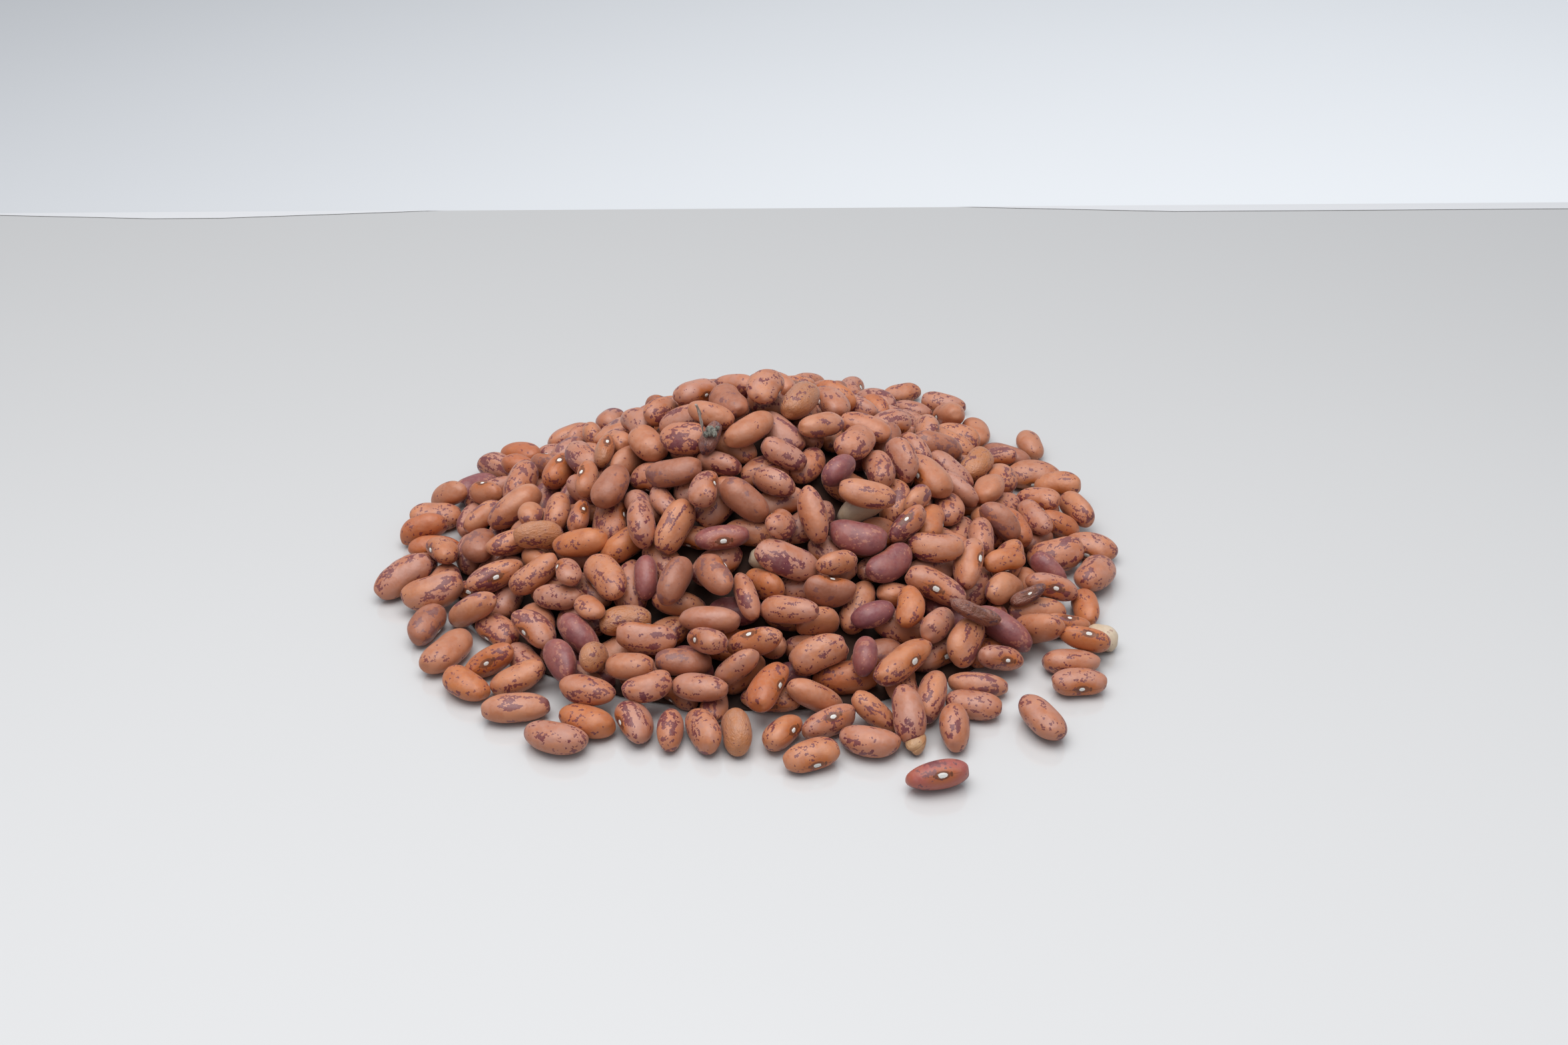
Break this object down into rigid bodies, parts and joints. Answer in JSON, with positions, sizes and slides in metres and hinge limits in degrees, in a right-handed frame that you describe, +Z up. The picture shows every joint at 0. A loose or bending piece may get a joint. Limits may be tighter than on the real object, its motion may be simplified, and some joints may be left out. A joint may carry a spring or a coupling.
{
  "type": "heap of dried beans",
  "caption": "Loose heap of dried speckled beans, as tipped out on a table, with stray beans lying beside it.",
  "frame": {"origin": "centre of the bounding box, at the level of the table the heap lies on", "axes": "+Z up from the table, -Y towards the camera, +X to the right in the picture"},
  "size_m": [0.1816, 0.1804, 0.0437],
  "materials": {
    "speckled_bean": "matt tan bean skin with maroon flecks, a soft highlight and a dusty bloom",
    "maroon_bean": "matt maroon bean skin with a soft highlight",
    "bean_eye": "dull white, like dried seed tissue"
  },
  "bodies": {
    "root": {"bean_heap": "speckled_bean", "stray_bean_red": "maroon_bean", "stray_bean_speckled": "speckled_bean"}
  },
  "joints": []
}
